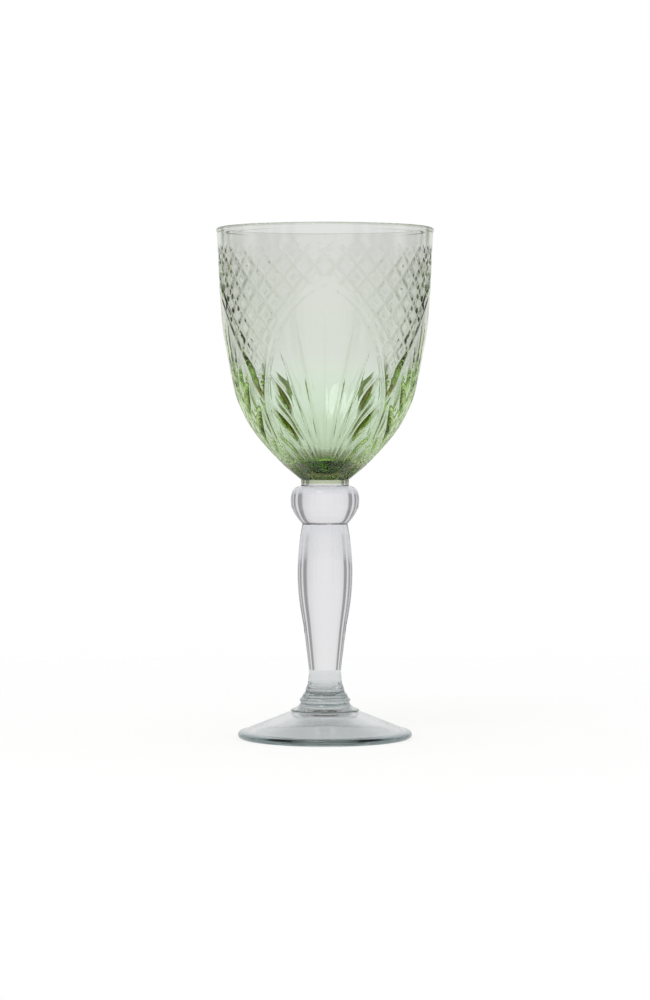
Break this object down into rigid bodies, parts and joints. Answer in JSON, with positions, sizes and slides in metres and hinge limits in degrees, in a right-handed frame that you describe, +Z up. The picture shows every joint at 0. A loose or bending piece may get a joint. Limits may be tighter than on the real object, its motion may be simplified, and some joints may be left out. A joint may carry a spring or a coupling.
{
  "type": "wine glass",
  "caption": "Footed wine glass with a deep pressed-pattern green bowl, a clear ball knop, a solid baluster stem, stepped rings and a low conical foot.",
  "frame": {"origin": "centre of the circle the foot stands on", "axes": "+Z up along the stem, through the centre of the bowl's mouth; -Y towards the viewer, facing the middle of one of the four pressed arches"},
  "size_m": [0.0852, 0.0852, 0.2],
  "materials": {
    "green_glass": "pale green soda-lime glass, pressed with a diamond and fan pattern",
    "clear_glass": "clear soda-lime glass, fire polished",
    "foot_glass": "clear soda-lime glass with a faint grey-teal cast, fire polished"
  },
  "bodies": {
    "root": {"bowl": "green_glass", "upper_merese": "clear_glass", "knop": "clear_glass", "stem": "clear_glass", "lower_merese": "clear_glass", "foot_collar": "clear_glass", "foot": "foot_glass"}
  },
  "joints": []
}
